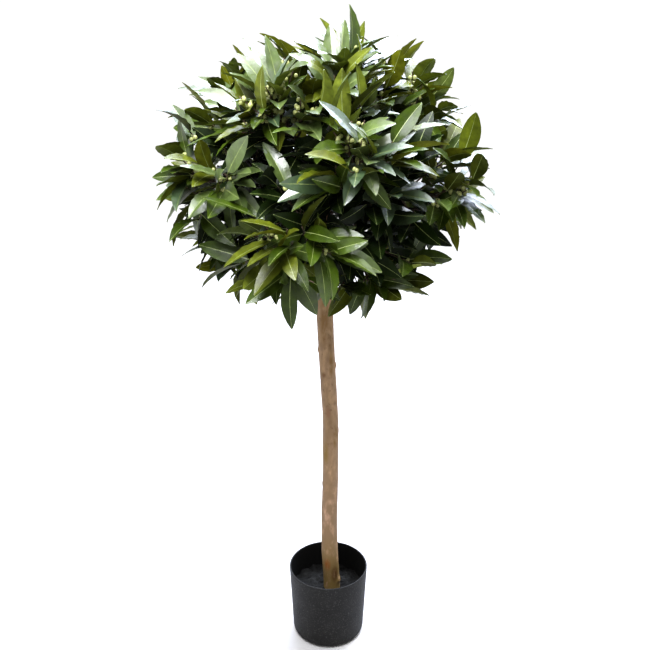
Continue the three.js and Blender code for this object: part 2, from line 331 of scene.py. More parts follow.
def sprigs(limbs, share, draw):
    """Finer twigs in a spiral round each limb, one at its tip, and those of the crown's inside."""
    found = []
    for limb in limbs:
        phase = 2 * math.pi * draw()
        for i in range(SPRIG["per_limb"]):
            t = i / (SPRIG["per_limb"] - 1)
            place = lerp(*SPRIG["starts"], t)
            heading = limb.heading(place)
            out = sideways(heading, phase + i * GOLDEN)
            along = leaning(heading, out, lerp(*SPRIG["opens"], t) + SPRIG["wander"] * (draw() - 0.5))
            along = unit(along + rise(limb.at(place)[2], SPRIG["lifts"]))
            length = lerp(*SPRIG["lengths"], t) * lerp(*SPRIG["uneven"], draw())
            bend = SPRIG["bend"] * lerp(-1, 1, draw())
            for shorter in SPRIG["shorter"]:
                sprig = twig(limb.at(place), along, length * shorter, bend, SPRIG)
                ends = sprig.checked()
                inside = lerp(*SPRIG["inside"], height_share(ends[0, 2]))
                if np.all(outline_share(ends) < share * inside) and clear_of_pole(ends, POLE_CLEAR):
                    found.append(sprig)
                    break
        found.append(Limb(*(limb.at(t) for t in SPRIG["end"]), SPRIG["root"], SPRIG["tip"]))
    return found + inner_sprigs(limbs[0], 2 * math.pi * draw())


def inner_sprigs(stem, phase):
    """Short twigs round the inner part of a stem, whose leaves close the crown's inside."""
    found = []
    for i in range(INNER["count"]):
        place = lerp(*INNER["starts"], i / (INNER["count"] - 1))
        out = sideways(stem.heading(place), phase + i * GOLDEN)
        along = leaning(stem.heading(place), out, INNER["opens"])
        sprig = twig(stem.at(place), along, INNER["length"], 0, SPRIG)
        if clear_of_pole(sprig.checked(), POLE_CLEAR):
            found.append(sprig)
    return found


# ---- leaves --------------------------------------------------------------------------------------

# Along a leaf: two stations of its stalk, then those of the blade, closer together at its ends. The widths
# are greatest a little before the blade's middle, and are shares of the leaf's half width.
STALK = 0.07
BLADE_START, BLADE_STATIONS = 0.08, 14
BLADE = (1 - np.cos(np.linspace(BLADE_START, 1, BLADE_STATIONS) * math.pi)) / 2
STATIONS = np.concatenate([[0, STALK], STALK + (1 - STALK) * BLADE])
WIDTHS = np.concatenate([[0, 0], 2.38 * BLADE**0.62 * (1.003 - BLADE) ** 0.82])
# Round a leaf's section from its left edge over its top to its right edge, and back below: how far across,
# in half widths, and how deep, in thicknesses. The strip between each pair of zeros is the midrib, raised on
# both sides, and MARGIN numbers the two sharp edges.
ACROSS = np.array([-1, -0.5, 0, 0, 0.5, 1, 0.5, 0, 0, -0.5])
RIB_SIDE = np.array([0, 0, -1, 1, 0, 0, 0, 1, -1, 0])
DEPTH = np.array([0, 0, -0.7, -0.7, 0, 0, 1, 2.2, 2.2, 1])
MARGIN = np.array([1, 0, 0, 0, 0, 2, 0, 0, 0, 0])
BLADE_SLOT, RIB_SLOT, UNDER_SLOT = 0, 1, 2
SECTION_SLOTS = [BLADE_SLOT] * 2 + [RIB_SLOT] + [BLADE_SLOT] * 2
SECTION_SLOTS += [UNDER_SLOT] * 2 + [RIB_SLOT] + [UNDER_SLOT] * 2
SAMPLES = np.array([0.4, 0.55, 0.7, 0.85, 1.0])  # the places along a leaf that need room
DROOP_POWER = 2.2
RIB_REACH, RIB_LEAST = 1.15, 0.2  # the midrib narrows to the tip, but not below its least share
STALK_FADE = 6  # the stalk ends where the blade is a sixth of its half width
STALK_RIB = 0.3
TIP_THICKNESS = 0.35


class Leaf:
    """One leaf: its root, direction, face and length, and how it folds, droops and twists."""

    def __init__(self, root, along, face, length, draw):
        self.root, self.along, self.length = root, along, length
        self.face = unit(face - along * (face @ along))
        self.side = np.cross(self.along, self.face)
        self.half = length * lerp(*LEAF["slender"], draw()) / 2
        self.fold = math.radians(lerp(*LEAF["fold"], draw()))
        self.droop = lerp(*LEAF["droop"], draw())
        self.twist = math.radians(LEAF["twist"]) * lerp(-1, 1, draw())
        self.bow = LEAF["bow"] * lerp(-1, 1, draw())
        self.phase = 2 * math.pi * draw()

    def spine(self, u):
        """The midrib's line: it rises a little, then droops to the tip and bows to one side."""
        lift = LEAF["arch"] * np.sin(math.pi * u) - self.droop * u**DROOP_POWER
        run = u - self.droop**2 * u**3 / 2
        return self.root + self.length * (
            np.outer(run, self.along) + np.outer(lift, self.face) + np.outer(self.bow * u * u, self.side)
        )

    def points(self):
        """The leaf's rings of points, one round each station."""
        u, w = STATIONS[:, None], WIDTHS[:, None]
        across = ACROSS * w * self.half + RIB_SIDE * LEAF["rib"] * np.clip(RIB_REACH - u, RIB_LEAST, 1)
        stalk = np.clip(1 - w * STALK_FADE, 0, 1)
        across = across + stalk * LEAF["stalk"] * (ACROSS + RIB_SIDE * STALK_RIB)
        wave = LEAF["wave"] * w * np.sin(u * 2 * math.pi * LEAF["waves"] + self.phase + np.sign(ACROSS))
        taper = lerp(1.0, TIP_THICKNESS, u) + stalk
        lift = np.abs(across) * math.sin(self.fold) + wave * ACROSS**2 - DEPTH * LEAF["thick"] * taper
        turn = self.twist * STATIONS
        side = np.outer(np.cos(turn), self.side) + np.outer(np.sin(turn), self.face)
        face = np.outer(np.cos(turn), self.face) - np.outer(np.sin(turn), self.side)
        flat = (across * math.cos(self.fold))[..., None] * side[:, None]
        return (self.spine(STATIONS)[:, None] + flat + lift[..., None] * face[:, None]).reshape(-1, 3)


def leaf_faces():
    """The faces of one leaf, and the material slot of each."""
    ring = len(ACROSS)
    faces, slots = [], []
    for i in range(len(STATIONS) - 1):
        for c in range(ring):
            right = (c + 1) % ring
            a, b = i * ring, (i + 1) * ring
            if abs(ACROSS[c]) > abs(ACROSS[right]):
                faces += [(a + c, a + right, b + c), (a + right, b + right, b + c)]
            else:
                faces += [(a + c, a + right, b + right), (a + c, b + right, b + c)]
            slots += [SECTION_SLOTS[c]] * 2
    last = (len(STATIONS) - 1) * ring
    faces.append(tuple(range(ring))[::-1])
    faces.append(tuple(range(last, last + ring)))
    return faces, slots + [UNDER_SLOT, BLADE_SLOT]


class Room:
    """Where leaves already are, so that no two share a place."""

    def __init__(self, cell, apart):
        self.cell, self.apart, self.taken = cell, apart, {}

    def key(self, p):
        return tuple(np.floor(p / self.cell).astype(int))

    def free(self, points):
        for p in points:
            x, y, z = self.key(p)
            least = lerp(*self.apart, height_share(p[2]))
            for i in (x - 1, x, x + 1):
                for j in (y - 1, y, y + 1):
                    for k in (z - 1, z, z + 1):
                        for q in self.taken.get((i, j, k), ()):
                            if (q[0] - p[0]) ** 2 + (q[1] - p[1]) ** 2 + (q[2] - p[2]) ** 2 < least**2:
                                return False
        return True

    def take(self, points):
        for p in points:
            self.taken.setdefault(self.key(p), []).append(p)


def leaf_fits(leaf, share, room):
    """Whether a leaf is inside the outline and the solids' box, clear of the pole and of other leaves."""
    points = leaf.spine(SAMPLES)
    if np.any(outline_share(points) > share) or not clear_of_pole(points, POLE_CLEAR):
        return False
    if np.any(points < CAD_LOW + LEAF["spare"]) or np.any(points > CAD_HIGH - LEAF["spare"]):
        return False
    return room.free(points)


def leaves_on(sprig, share, draw, room):
    """Leaves in a spiral along a sprig. One that finds no room is turned, then skipped."""
    found = []
    phase = 2 * math.pi * draw()
    count = round(lerp(*LEAF["per_sprig"], draw()))
    low, high = (lerp(*ends, height_share(sprig.at(1)[2])) for ends in zip(*LEAF["ragged"]))
    limit = share * lerp(low, high, draw())
    for i in range(count):
        t = i / (count - 1)
        place = lerp(*LEAF["starts"], t)
        root, heading = sprig.at(place), sprig.heading(place)
        length = lerp(*LEAF["lengths"], draw())
        wander = unit(np.array([draw(), draw(), draw()]) - 0.5) * LEAF["faces"]["wander"] * draw()
        open_by = lerp(*LEAF["opens"], t) + LEAF["wander"] * (draw() - 0.5)
        for turn in LEAF["turns"]:
            out = sideways(heading, phase + i * GOLDEN + turn)
            along = leaning(heading, out, open_by) + rise(root[2], LEAF["lifts"])
            along[2] *= np.interp(height_share(root[2]), *LEAF["level"])
            along = unit(along)
            face = heading * LEAF["faces"]["outward"] + UP * LEAF["faces"]["up"] + wander
            leaf = Leaf(root, along, face, length, draw)
            if leaf_fits(leaf, limit, room):
                room.take(leaf.spine(SAMPLES))
                found.append(leaf)
                break
    return found


def lone_leaf(k, limbs, draw):
    """A leaf past the outline, as in the source: upright on the first mass, hanging from a low one."""
    size = STANDING if k == 0 else HANGING
    way = UP if k == 0 else -UP
    outermost = max((limb.at(LONE_START) for limb in limbs), key=lambda p: p @ way)
    out = unit(DIRECTIONS[k] * np.array([1, 1, 0]))
    return Leaf(outermost, leaning(way, out, size["out"]), out, size["length"], draw)


# ---- pieces --------------------------------------------------------------------------------------


class Heap:
    """Points and faces of many shapes, to be joined into one piece."""

    def __init__(self):
        self.points, self.faces, self.slots, self.creases, self.count = [], [], [], [], 0

    def add(self, points, faces, slots=None, creases=None):
        """creases gives each point the number of the sharp line that it is on, or 0."""
        self.points.append(points)
        self.faces.extend([[i + self.count for i in face] for face in faces])
        self.slots.extend(slots or [0] * len(faces))
        self.creases.append(np.zeros(len(points), int) if creases is None else creases)
        self.count += len(points)

    def piece(self, name, materials, slot, nodes):
        mesh = bpy.data.meshes.new(name)
        mesh.from_pydata(np.concatenate(self.points).tolist(), [], self.faces)
        mesh.polygons.foreach_set("material_index", self.slots)
        mesh.polygons.foreach_set("use_smooth", [True] * len(mesh.polygons))
        for material in materials:
            mesh.materials.append(material)
        mesh.update()
        ends = np.empty(2 * len(mesh.edges), int)
        mesh.edges.foreach_get("vertices", ends)
        first, second = np.concatenate(self.creases)[ends.reshape(-1, 2).T]
        sharp = mesh.attributes.new("sharp_edge", "BOOLEAN", "EDGE")
        sharp.data.foreach_set("value", (first == second) & (first > 0))
        piece = bpy.data.objects.new(name, mesh)
        bpy.context.scene.collection.objects.link(piece)
        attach(piece, "root")
        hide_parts(*nodes)


def band_faces(bands, sides):
    """The faces of the bands between rings of points."""
    faces = []
    for i in range(bands):
        for k in range(sides):
            right = (k + 1) % sides
            faces.append((i * sides + k, i * sides + right, (i + 1) * sides + right, (i + 1) * sides + k))
    return faces


def flipped(faces):
    """The same faces, turned to their other side."""
    return [face[:1] + face[:0:-1] for face in faces]


def tube_faces(count, sides):
    """The faces of a tube of rings, closed at both ends."""
    last = (count - 1) * sides
    return band_faces(count - 1, sides) + [tuple(range(sides))[::-1], tuple(range(last, last + sides))]


def turns(sides):
    return [2 * math.pi * k / sides for k in range(sides)]


def rings(centres, radii, sides):
    """A tube through centres. radii holds one radius per ring and side."""
    headings = np.gradient(centres, axis=0)
    headings /= np.linalg.norm(headings, axis=1)[:, None]
    least = np.eye(3)[np.argmin(np.abs(headings.mean(axis=0)))]
    first = np.cross(headings, least)
    first /= np.linalg.norm(first, axis=1)[:, None]
    second = np.cross(headings, first)
    a = np.array(turns(sides))
    points = centres[:, None] + radii[..., None] * (
        first[:, None] * np.cos(a)[None, :, None] + second[:, None] * np.sin(a)[None, :, None]
    )
    return points.reshape(-1, 3), tube_faces(len(centres), sides)


# The bark's relief: its grain to the metre and round a limb, its place in the noise, and a limb's joints.
BARK = dict(grain=420, turn=0.9, shift=7, joints=5, sharpness=4)
BOUGH_TUBE = dict(count=28, sides=10, relief=0.28, knobs=0.1)
TWIG_TUBE = dict(count=12, sides=7, relief=0.25, knobs=0.2)
SPRIG_TUBE = dict(count=6, sides=5, relief=0.2, knobs=0.15)


def limb_tube(limb, count, sides, relief, knobs):
    """A limb with the relief of its bark, and swollen joints where leaves and twigs spring."""
    t = np.linspace(0, 1, count)
    centres = np.array([limb.at(x) for x in t])
    radii = np.empty((count, sides))
    for i, c in enumerate(centres):
        swell = 1 + knobs * max(0, math.cos(t[i] * 2 * math.pi * BARK["joints"])) ** BARK["sharpness"]
        for k in range(sides):
            rough = noise.noise(Vector(c * BARK["grain"]) + Vector((k * BARK["turn"], 0, BARK["shift"])))
            radii[i, k] = lerp(limb.root, limb.tip, t[i]) * swell * (1 + relief * rough)
    return rings(centres, radii, sides)


# ---- materials -----------------------------------------------------------------------------------

TEXTURE_ROUGHNESS = 0.55
COLOUR_A, COLOUR_B, COLOUR_OUT = 6, 7, 2  # the Mix node's sockets for colours
PATCH_CORE = 0.35  # a patch is full within this share of its size


class Finish:
    """A node material round one Principled shader, with helpers for its textures."""

    def __init__(self, name, color, roughness, **sockets):
        self.material = bpy.data.materials.new(name)
        self.material.use_nodes = True
        self.nodes, self.links = self.material.node_tree.nodes, self.material.node_tree.links
        self.shader = self.nodes["Principled BSDF"]
        self.shader.inputs["Base Color"].default_value = (*color, 1)
        self.shader.inputs["Roughness"].default_value = roughness
        for socket, value in sockets.items():
            self.shader.inputs[socket.replace("_", " ")].default_value = value
        self.place = self.nodes.new("ShaderNodeTexCoord").outputs["Object"]

    def noise(self, scale, detail, stretch=(1, 1, 1)):
        mapping = self.nodes.new("ShaderNodeMapping")
        mapping.inputs["Scale"].default_value = stretch
        texture = self.nodes.new("ShaderNodeTexNoise")
        texture.inputs["Scale"].default_value = scale
        texture.inputs["Detail"].default_value = detail
        texture.inputs["Roughness"].default_value = TEXTURE_ROUGHNESS
        self.links.new(self.place, mapping.inputs["Vector"])
        self.links.new(mapping.outputs["Vector"], texture.inputs["Vector"])
        return texture.outputs["Fac"]

    def ramp(self, source, stops):
        node = self.nodes.new("ShaderNodeValToRGB")
        elements = node.color_ramp.elements
        while len(elements) < len(stops):
            elements.new(0.5)  # moved to its place below
        for element, (place, color) in zip(elements, stops):
            element.position = place
            element.color = (*color, 1)
        self.links.new(source, node.inputs["Fac"])
        return node.outputs["Color"]

    def grey(self, source, low, high, out_low=0.0, out_high=1.0):
        """A texture's range from low to high, stretched to 0 to 1 or to what is asked."""
        node = self.nodes.new("ShaderNodeMapRange")
        ends = {"From Min": low, "From Max": high, "To Min": out_low, "To Max": out_high}
        for socket, value in ends.items():
            node.inputs[socket].default_value = value
        self.links.new(source, node.inputs["Value"])
        return node.outputs["Result"]

    def mix(self, share, a, b):
        node = self.nodes.new("ShaderNodeMix")
        node.data_type = "RGBA"
        self.links.new(share, node.inputs["Factor"])
        for socket, value in ((node.inputs[COLOUR_A], a), (node.inputs[COLOUR_B], b)):
            if isinstance(value, tuple):
                socket.default_value = (*value, 1)
            else:
                self.links.new(value, socket)
        return node.outputs[COLOUR_OUT]

    def near(self, centre, size):
        """1 at a place on the object, falling to 0 at its edge."""
        shift = self.nodes.new("ShaderNodeVectorMath")
        shift.operation = "SUBTRACT"
        shift.inputs[1].default_value = centre
        self.links.new(self.place, shift.inputs[0])
        scale = self.nodes.new("ShaderNodeVectorMath")
        scale.operation = "DIVIDE"
        scale.inputs[1].default_value = size
        self.links.new(shift.outputs[0], scale.inputs[0])
        length = self.nodes.new("ShaderNodeVectorMath")
        length.operation = "LENGTH"
        self.links.new(scale.outputs[0], length.inputs[0])
        return self.grey(length.outputs["Value"], 1.0, PATCH_CORE)

    def times(self, a, b):
        node = self.nodes.new("ShaderNodeMath")
        node.operation = "MULTIPLY"
        self.links.new(a, node.inputs[0])
        if isinstance(b, float):
            node.inputs[1].default_value = b
        else:
            self.links.new(b, node.inputs[1])
        return node.outputs[0]

    def colour(self, source):
        self.links.new(source, self.shader.inputs["Base Color"])

    def rough(self, source):
        self.links.new(source, self.shader.inputs["Roughness"])

    def bump(self, source, distance, strength):
        node = self.nodes.new("ShaderNodeBump")
        node.inputs["Distance"].default_value = distance
        node.inputs["Strength"].default_value = strength
        self.links.new(source, node.inputs["Height"])
        self.links.new(node.outputs["Normal"], self.shader.inputs["Normal"])


# Upper side and underside of each tint of leaf, its share of the sprays at the crown's foot and top, and
# how glossy it is. Dark tints are dealt mostly at the foot and pale ones at the top: painted shade low in
# the crown and painted light high in it.
TINTS = {
    # The inner tint's near-black leaves are painted shade.
    "inner": ((0.007, 0.014, 0.002), (0.010, 0.017, 0.005), (0.0, 0.0), 0.1),
    "deep": ((0.0215, 0.037, 0.0015), (0.037, 0.045, 0.002), (0.42, 0.0), 0.16),
    "mid": ((0.035, 0.059, 0.003), (0.072, 0.090, 0.005), (0.22, 0.12), 0.42),
    "fresh": ((0.055, 0.083, 0.018), (0.110, 0.134, 0.014), (0.06, 0.58), 0.85),
    "blue": ((0.028, 0.050, 0.019), (0.060, 0.080, 0.016), (0.09, 0.12), 0.9),
    "olive": ((0.060, 0.073, 0.004), (0.108, 0.118, 0.006), (0.20, 0.18), 0.25),
}
TINT_CLIMB = 1.6  # above 1, the foot's shares, with their painted shade, reach further up
RIB_COLOUR = (0.24, 0.29, 0.10)
MOTTLING = ((0.34, 0.68), (0.55, 1.0), (0.72, 1.35))  # place in the texture, and shade


def tint_at(tip, draw):
    """A tint for a spray by its tip: dark painted shade deep inside, paler towards the crown's top as
    painted light.
    """
    if outline_share(tip)[0] < INNER["share"]:
        return "inner"
    left = draw()
    for name, (_, _, shares, _) in TINTS.items():
        left -= lerp(*shares, height_share(tip[2]) ** TINT_CLIMB)
        if left < 0:
            return name
    return "mid"


def mottled(finish, color, scale):
    """Gives a finish a colour that drifts between darker and paler."""
    stops = [(place, tuple(shade * c for c in color)) for place, shade in MOTTLING]
    finish.colour(finish.ramp(finish.noise(scale, detail=5), stops))


def leaf_materials(tint):
    over, under, _, gloss = TINTS[tint]
    blade = Finish(f"leaf_{tint}_upper", over, roughness=0.36, Specular_IOR_Level=gloss,
                   Coat_Weight=gloss / 2, Coat_Roughness=0.30)
    blade.rough(blade.grey(blade.noise(120, detail=3), 0.35, 0.65, out_low=0.29, out_high=0.43))
    rib = Finish(f"leaf_{tint}_midrib", RIB_COLOUR, roughness=0.45)
    mottled(rib, RIB_COLOUR, scale=140)
    rib.bump(rib.noise(500, detail=2), distance=0.3 * MM, strength=0.4)
    back = Finish(f"leaf_{tint}_under", under, roughness=0.6, Specular_IOR_Level=0.12)
    for side, color in ((blade, over), (back, under)):
        mottled(side, color, scale=75)
        side.bump(side.noise(330, detail=5), distance=1.1 * MM, strength=0.5)
    return [blade.material, rib.material, back.material]


def bark_material():
    bark = Finish("twig_bark", (0.045, 0.028, 0.016), roughness=0.78)
    grain = bark.noise(240, detail=6)
    stops = [(0.3, (0.020, 0.013, 0.009)), (0.55, (0.060, 0.036, 0.018)), (0.8, (0.130, 0.088, 0.045))]
    bark.colour(bark.ramp(grain, stops))
    bark.bump(grain, distance=0.8 * MM, strength=0.7)
    return bark.material


def bud_material():
    bud = Finish("bud_skin", (0.42, 0.44, 0.16), roughness=0.5)
    spots = bud.noise(700, detail=3)
    bud.colour(bud.ramp(spots, [(0.35, (0.20, 0.24, 0.06)), (0.65, (0.40, 0.40, 0.16))]))
    bud.bump(spots, distance=0.3 * MM, strength=0.5)
    return bud.material


# ---- the crown -----------------------------------------------------------------------------------


def bud_ball(centre, radius):
    """A small ball, a little pointed."""
    points = []
    for i in range(BUD["bands"] + 1):
        a = math.pi * i / BUD["bands"]
        flat, up = math.sin(a), BUD["pointed"] * math.cos(a)
        points += [[flat * math.cos(b), flat * math.sin(b), up] for b in turns(BUD["columns"])]
    return centre + radius * np.array(points), flipped(band_faces(BUD["bands"], BUD["columns"]))


def add_buds(buds, sprig, bare, draw):
    """Clusters of buds at their places along a sprig, more of them higher up. A bare sprig has none."""
    height = (sprig.at(1)[2] - CROWN["centre"][2]) / CROWN["above"]
    least, most = BUD["counts"]
    for place in BUD["places"]:
        if draw() > lerp(*BUD["chances"], height - BUD["start"]) or bare:
            continue
        for _ in range(least + int(draw() * (most - least + 1))):
            radius = lerp(*BUD["radii"], draw())
            out = sideways(sprig.heading(place), 2 * math.pi * draw())
            out = out * (sprig.root + radius * lerp(*BUD["off"], draw()))
            centre = sprig.at(place + BUD["wander"] * (draw() - 0.5)) + out
            buds.add(*bud_ball(centre, radius))


def grow_crown():
    """Every limb, leaf and bud of the crown, sorted by what it is made of."""
    room = Room(max(LEAF["room"]), LEAF["room"])
    leaf_heaps = {name: Heap() for name in TINTS}
    faces, slots = leaf_faces()
    creases = np.tile(MARGIN, len(STATIONS))
    wood, buds = Heap(), Heap()
    for k in range(MASSES):
        limbs, share = grown_limbs(k)
        draw, bud_draw = draws(LEAF_SEED * (k + 1)), draws(BUD_SEED * (k + 1))
        if k == 0 or DIRECTIONS[k][2] < HANGING["below"]:
            leaf = lone_leaf(k, limbs, draw)
            room.take(leaf.spine(SAMPLES))
            tint = "mid" if k == 0 else ("deep", "olive")[k % 2]
            leaf_heaps[tint].add(leaf.points(), faces, slots, creases)
        for limb in limbs:
            wood.add(*limb_tube(limb, **TWIG_TUBE))
        for sprig in sprigs(limbs, share, draw):
            tint = tint_at(sprig.at(1), draw)
            for leaf in leaves_on(sprig, share, draw, room):
                leaf_heaps[tint].add(leaf.points(), faces, slots, creases)
            wood.add(*limb_tube(sprig, **SPRIG_TUBE))
            add_buds(buds, sprig, tint == "inner", bud_draw)
    return leaf_heaps, wood, buds


def make_crown():
    foliage_nodes = [f"foliage_{k + 1:02d}" for k in range(MASSES)]
    bark = bark_material()
    leaf_heaps, wood, buds = grow_crown()
    for tint, heap in leaf_heaps.items():
        heap.piece(f"leaves_{tint}", leaf_materials(tint), "bay_foliage", foliage_nodes)
    wood.piece("twigs", [bark], "bay_foliage", foliage_nodes)
    buds.piece("buds", [bud_material()], "bay_foliage", foliage_nodes)
    for k in range(MASSES):
        heap = Heap()
        heap.add(*limb_tube(bough(k), **BOUGH_TUBE))
        heap.piece(f"bough_bark_{k + 1:02d}", [bark], "bough_bark", [f"bough_{k + 1:02d}"])


# ---- pole ----------------------------------------------------------------------------------------

# The relief stands on a surface that lies a little within the solid's.
POLE_MESH = dict(rings=420, sides=56, smoothing=41, within=0.2 * MM)
# The wood's bulges, long grain and dents: their height, how close they are round and along it, and a shift.
RELIEF = [(0.7 * MM, 1.1, 13, 0), (0.28 * MM, 7, 24, 5), (0.12 * MM, 19, 90, 9)]
KNOT = dict(pole_radius=16 * MM, edge=2, fall=2.2, dent=0.5, dent_fall=9)
# Stubs of side shoots that were cut off: their height on the pole, the way they face in degrees, their
# size, and how far they stand out.
KNOTS = [
    (0.643, 185, 6 * MM, 2.6 * MM),
    (0.612, -8, 8 * MM, 3.2 * MM),
    (0.535, -70, 7 * MM, 1.6 * MM),
    (0.470, 20, 9 * MM, 1.8 * MM),
    (0.352, 200, 8 * MM, 1.8 * MM),
    (0.285, -110, 7 * MM, 1.5 * MM),
    (0.215, 60, 8 * MM, 2.0 * MM),
    (0.700, 110, 8 * MM, 2.4 * MM),
    (0.122, -22, 9 * MM, 3.6 * MM),
]


def pole_relief(z, angle):
    """How far the peeled wood stands out: bulges, long grain, dents and knots."""
    x, y = math.cos(angle), math.sin(angle)
    stands = 0.0
    for depth, across, along, shift in RELIEF:
        stands += depth * noise.noise(Vector((x * across, y * across, z * along + shift)))
    for height, way, size, stub in KNOTS:
        turn = (angle - math.radians(way) + math.pi) % (2 * math.pi) - math.pi
        away = math.hypot((z - height) / size, turn * KNOT["pole_radius"] / size)
        if away < KNOT["edge"]:
            dented = 1 - KNOT["dent"] * math.exp(-KNOT["dent_fall"] * away * away)
            stands += stub * math.exp(-KNOT["fall"] * away * away) * dented
    return stands


def smoothed(values, width):
    """Values along a line, each the mean of those near it."""
    kernel = np.hanning(width)
    padded = np.pad(values, width // 2, mode="reflect", reflect_type="odd")
    return np.convolve(padded, kernel / kernel.sum(), mode="valid")


def make_pole():
    heights = np.linspace(POLE[0, 0], POLE[-1, 0], POLE_MESH["rings"])
    centres = np.array([pole_at(z)[:2] for z in heights])
    for axis in range(2):
        centres[:, axis] = smoothed(centres[:, axis], POLE_MESH["smoothing"])
    points = []
    for (x, y), z in zip(centres, heights):
        radius = pole_at(z)[2] - POLE_MESH["within"]
        for a in turns(POLE_MESH["sides"]):
            r = radius + pole_relief(z, a)
            points.append([x + r * math.cos(a), y + r * math.sin(a), z])
    heap = Heap()
    heap.add(np.array(points), tube_faces(POLE_MESH["rings"], POLE_MESH["sides"]))
    heap.piece("pole", [pole_material()], "pole_wood", ["trunk"])


# Darker marks all over the wood: the texture's scale, detail and stretch along the pole, the range of it
# that shows, how strongly, and the colour.
MARKS = [
    (34, 6, 0.3, (0.53, 0.66), 0.65, (0.088, 0.048, 0.019)),
    (130, 6, 0.45, (0.42, 0.62), 0.5, (0.155, 0.096, 0.052)),
    (170, 4, 0.6, (0.59, 0.68), 0.6, (0.066, 0.032, 0.014)),
]
# Stains of the bark that was left on: centre and size in metres, and colour.
STAINS = [
    ((0.002, 0.000, 0.130), (0.120, 0.120, 0.520), (0.160, 0.100, 0.052)),
    ((0.006, 0.000, 0.100), (0.045, 0.045, 0.150), (0.150, 0.100, 0.028)),
    ((-0.008, -0.018, 0.712), (0.010, 0.016, 0.066), (0.150, 0.082, 0.026)),
    ((0.003, -0.018, 0.668), (0.007, 0.014, 0.036), (0.110, 0.062, 0.020)),
    ((0.005, -0.018, 0.618), (0.006, 0.014, 0.032), (0.135, 0.072, 0.018)),
    ((-0.009, -0.014, 0.596), (0.006, 0.012, 0.008), (0.125, 0.066, 0.030)),
    ((0.010, -0.013, 0.537), (0.005, 0.012, 0.007), (0.125, 0.068, 0.028)),
    ((-0.001, -0.016, 0.516), (0.006, 0.012, 0.016), (0.160, 0.084, 0.042)),
    ((0.013, -0.010, 0.462), (0.006, 0.014, 0.030), (0.110, 0.060, 0.014)),
    ((-0.008, -0.012, 0.425), (0.010, 0.014, 0.034), (0.140, 0.084, 0.020)),
    ((-0.003, -0.018, 0.166), (0.009, 0.012, 0.018), (0.170, 0.056, 0.008)),
    ((0.014, -0.016, 0.142), (0.010, 0.012, 0.022), (0.075, 0.030, 0.004)),
]


def pole_material():
    wood = Finish("peeled_wood", (0.30, 0.19, 0.11), roughness=0.72, Specular_IOR_Level=0.3)
    stops = [(0.32, (0.300, 0.184, 0.116)), (0.5, (0.278, 0.175, 0.093)), (0.68, (0.200, 0.124, 0.056))]
    skin = wood.ramp(wood.noise(14, detail=5, stretch=(1, 1, 0.35)), stops)
    for scale, detail, stretch, (low, high), strength, colour in MARKS:
        marks = wood.grey(wood.noise(scale, detail, (1, 1, stretch)), low, high)
        skin = wood.mix(wood.times(marks, strength), skin, colour)
    ragged = wood.grey(wood.noise(95, detail=6, stretch=(1, 1, 0.45)), 0.34, 0.52)
    for centre, size, stain in STAINS:
        skin = wood.mix(wood.times(wood.near(centre, size), ragged), skin, stain)
    wood.colour(skin)
    wood.bump(wood.noise(90, detail=7, stretch=(1, 1, 0.22)), distance=1.1 * MM, strength=0.55)
    return wood.material


# ---- pot and fill --------------------------------------------------------------------------------

# axis is the least radius of a turned profile. wall_ends is the stretch of the outer wall that has its
# rows, and inside_ends is how far the inner wall's rows keep from the pot's top and from its foot's round.
POT_MESH = dict(sides=128, axis=0.05 * MM, flat=0.6, foot=12, wall=12, wall_ends=(0.06, 0.97), rim=8,
                inside=8, inside_ends=(8 * MM, 4 * MM), corner=6)
OUTER_SLOT, SHADED_INNER_SLOT = 0, 1
FILL_MESH = dict(sides=160, bands=44, foot_in=9 * MM)
# The cast's lumps, grit and crumbs: their height, how close they are to the millimetre, and a shift.
LUMPS = [(4.2 * MM, 0.075, 2.0), (1.7 * MM, 0.3, 4.0), (0.6 * MM, 0.9, 6.0)]


def arc(x, y, radius, start, stop, steps):
    angles = np.radians(np.linspace(start, stop, steps + 1))
    return [(x + radius * math.cos(a), y + radius * math.sin(a)) for a in angles]


def pot_inside(z):
    return lerp(POT["foot"], POT["rim"], z / POT["height"]) - POT["wall"]


def turned(profile):
    """Points and faces of a profile in (radius, height), turned round the Z axis."""
    points = []
    for radius, z in profile:
        r = max(radius, POT_MESH["axis"])
        points += [[r * math.cos(a), r * math.sin(a), z] for a in turns(POT_MESH["sides"])]
    return np.array(points), band_faces(len(profile) - 1, POT_MESH["sides"])


def make_pot():
    lip = POT["wall"] / 2
    outer, inner = POT["foot_round"], POT["foot_round"] - POT["wall"]
    outside = [(0, 0), (POT_MESH["flat"] * POT["foot"], 0)]
    outside += arc(POT["foot"] - outer, outer, outer, -90, 0, POT_MESH["foot"])
    outside += [
        (lerp(POT["foot"], POT["rim"], t), lerp(outer, POT["height"] - lip, t))
        for t in np.linspace(*POT_MESH["wall_ends"], POT_MESH["wall"])
    ]
    outside += arc(POT["rim"] - lip, POT["height"] - lip, lip, 0, 180, POT_MESH["rim"])
    top, bottom = POT["height"] - POT_MESH["inside_ends"][0], outer + POT_MESH["inside_ends"][1]
    inside = [(pot_inside(z), z) for z in np.linspace(top, bottom, POT_MESH["inside"])]
    inside += arc(pot_inside(outer) - inner, POT["floor"] + inner, inner, 0, -90, POT_MESH["corner"])
    inside.append((0, POT["floor"]))
    slots = [OUTER_SLOT] * (len(outside) - 2) + [SHADED_INNER_SLOT] * (len(inside) + 1)
    heap = Heap()
    heap.add(*turned(outside + inside), [slot for slot in slots for _ in range(POT_MESH["sides"])])
    heap.piece("pot_shell", pot_materials(), "pot_plastic", ["pot"])


